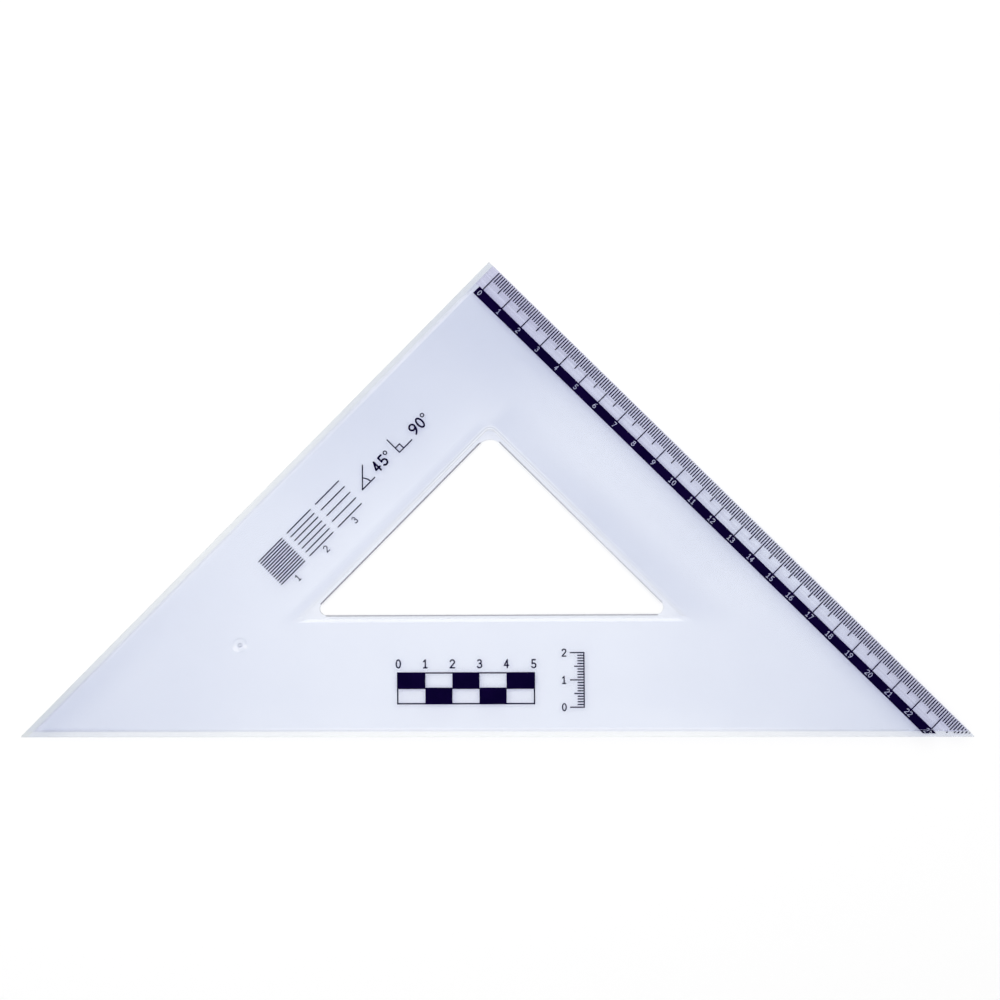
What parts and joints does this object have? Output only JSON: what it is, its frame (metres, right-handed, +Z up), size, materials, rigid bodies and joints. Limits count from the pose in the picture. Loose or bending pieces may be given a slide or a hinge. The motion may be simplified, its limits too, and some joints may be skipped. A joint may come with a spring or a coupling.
{
  "type": "drafting triangle",
  "caption": "Flat clear 45 degree set square with a triangular opening, thin lips along two sides and a bevelled third side with a printed centimetre scale.",
  "frame": {"origin": "middle of the plate's box, on the underside that lies on the paper", "axes": "+X along the long side towards the scale, +Y towards the right angle, +Z up out of the printed face"},
  "size_m": [0.3518, 0.1761, 0.0021],
  "materials": {
    "clear_plastic": "clear moulded polystyrene with a faint lilac tint, polished",
    "ink": "dark indigo screen print, satin"
  },
  "bodies": {
    "root": {"plate": "clear_plastic", "scale_band": "ink", "centimetre_lines": "ink", "half_centimetre_lines": "ink", "millimetre_lines": "ink", "lip_print": "ink", "spacing_guide_lines": "ink", "spacing_guide_numbers": "ink", "angle_signs": "ink", "angle_numbers": "ink", "bar_scale": "ink", "bar_scale_numbers": "ink", "upright_rule": "ink", "upright_rule_numbers": "ink"}
  },
  "joints": []
}
